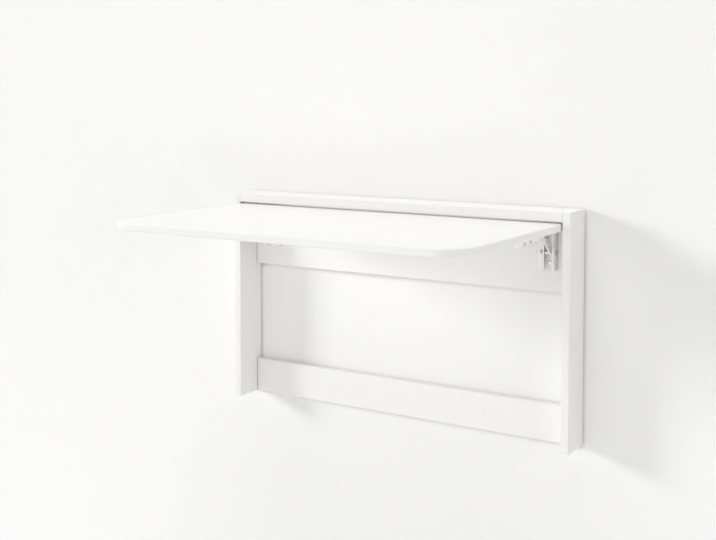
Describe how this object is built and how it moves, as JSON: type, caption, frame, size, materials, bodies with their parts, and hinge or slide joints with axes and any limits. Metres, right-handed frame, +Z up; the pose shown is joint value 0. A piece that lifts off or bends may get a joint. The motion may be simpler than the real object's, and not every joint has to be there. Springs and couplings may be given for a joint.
{
  "type": "wall desk",
  "caption": "Floating wall desk: a white board frame screwed to the wall with a writing leaf that folds down flush between its sides on strut brackets.",
  "frame": {"origin": "centre of the rectangle of wall screws, in the plane of the wall that the frame's back lies on", "axes": "+X along the wall to the right of a person facing it, +Y into the wall, +Z up"},
  "size_m": [0.8, 0.5025, 0.464],
  "materials": {
    "frame_lacquer": "white satin lacquer on board",
    "leaf_lacquer": "white satin lacquer on board, smooth writing face",
    "white_powder_coat": "white powder coat on folded steel",
    "pin_steel": "turned steel",
    "plated_steel": "bright zinc plate",
    "spring_steel": "tempered strip",
    "zinc_casting": "die-cast zinc",
    "white_nylon": "moulded nylon",
    "beech": "bare beech, fluted"
  },
  "bodies": {
    "frame": {"left_stile": "frame_lacquer", "right_stile": "frame_lacquer", "top_board": "frame_lacquer", "upper_rail": "frame_lacquer", "bottom_rail": "frame_lacquer", "end_dowels": "beech", "top_board_dowels": "beech", "cam_locks": "zinc_casting", "cam_bolts": "plated_steel", "pivot_pins": "pin_steel", "leg_screws": "plated_steel", "left_bracket_leg": "white_powder_coat", "left_foot_pin": "pin_steel", "left_foot_spacers": "plated_steel", "right_bracket_leg": "white_powder_coat", "right_foot_pin": "pin_steel", "right_foot_spacers": "plated_steel"},
    "leaf": {"leaf": "leaf_lacquer", "pivot_bushes": "white_nylon", "arm_screws": "plated_steel", "left_bracket_arm": "white_powder_coat", "left_tie_rivet": "pin_steel", "left_lever_pivot": "pin_steel", "left_lever_spring": "spring_steel", "right_bracket_arm": "white_powder_coat", "right_tie_rivet": "pin_steel", "right_lever_pivot": "pin_steel", "right_lever_spring": "spring_steel"},
    "left_strut": {"left_strut": "white_powder_coat", "left_slide_pin": "pin_steel", "left_slide_spacers": "plated_steel"},
    "left_lever": {"left_lock_lever": "plated_steel"},
    "right_strut": {"right_strut": "white_powder_coat", "right_slide_pin": "pin_steel", "right_slide_spacers": "plated_steel"},
    "right_lever": {"right_lock_lever": "plated_steel"}
  },
  "joints": [
    {"name": "leaf_fold", "type": "hinge", "parent": "frame", "child": "leaf", "pos_m": [0, -0.0705, 0.21275], "axis": [1, 0, 0], "range_deg": [0, 90]},
    {"name": "left_strut_swing", "type": "hinge", "parent": "frame", "child": "left_strut", "pos_m": [0, -0.025, 0.15575], "axis": [-1, 0, 0], "range_deg": [0, 22.4]},
    {"name": "right_strut_swing", "type": "hinge", "parent": "frame", "child": "right_strut", "pos_m": [0, -0.025, 0.15575], "axis": [-1, 0, 0], "range_deg": [0, 22.4]},
    {"name": "left_lever_turn", "type": "hinge", "parent": "leaf", "child": "left_lever", "pos_m": [0, -0.146, 0.19175], "axis": [-1, 0, 0], "range_deg": [0, 6], "stiffness_Nm_per_rad": 1.2, "springref_deg": -6.88, "deforming": ["left_lever_spring"]},
    {"name": "right_lever_turn", "type": "hinge", "parent": "leaf", "child": "right_lever", "pos_m": [0, -0.146, 0.19175], "axis": [-1, 0, 0], "range_deg": [0, 6], "stiffness_Nm_per_rad": 1.2, "springref_deg": -6.88, "deforming": ["right_lever_spring"]}
  ],
  "couplings": [
    {"joint": "left_strut_swing", "follows": "leaf_fold", "ratio": 0.248},
    {"joint": "right_strut_swing", "follows": "leaf_fold", "ratio": 0.248}
  ]
}
